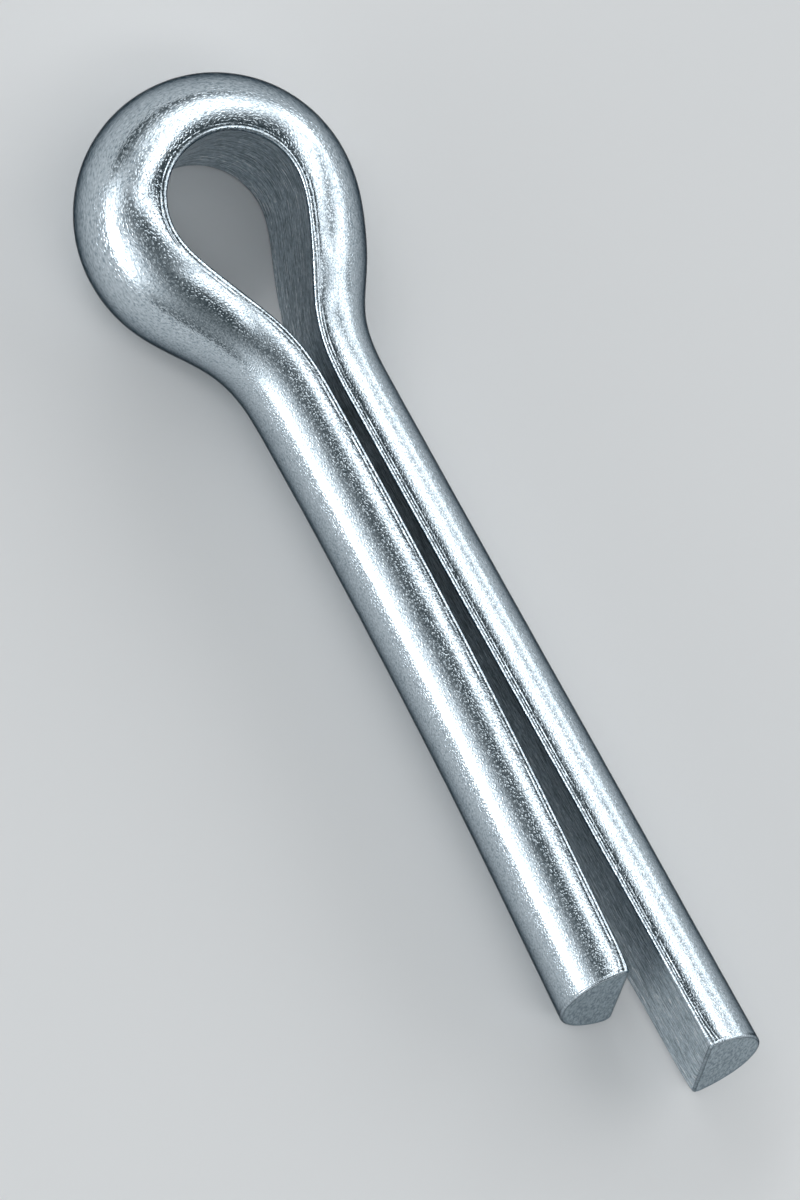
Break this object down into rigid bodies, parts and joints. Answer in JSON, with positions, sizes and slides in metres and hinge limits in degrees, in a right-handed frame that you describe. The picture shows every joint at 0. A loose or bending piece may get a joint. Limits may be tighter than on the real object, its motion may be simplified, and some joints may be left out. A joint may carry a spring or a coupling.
{
  "type": "cotter pin",
  "caption": "Split pin folded from half-round steel wire: a teardrop eye and flat-sided legs of unequal length, which go through a cross hole and are spread to lock it.",
  "frame": {"origin": "centre of the round part of the eye, halfway through the width of the wire", "axes": "+X runs from the eye to the tips of the legs, +Y is the side of the long leg, +Z is square to the eye, so the pin lies flat as it does on a table"},
  "size_m": [0.0477, 0.0122, 0.0072],
  "materials": {
    "zinc_plated_steel": "bright blue-white zinc plating, finely grained on the round back, with lengthwise drawing marks on the flat side and matte sheared tips"
  },
  "bodies": {
    "root": {"cotter_pin": "zinc_plated_steel"}
  },
  "joints": []
}
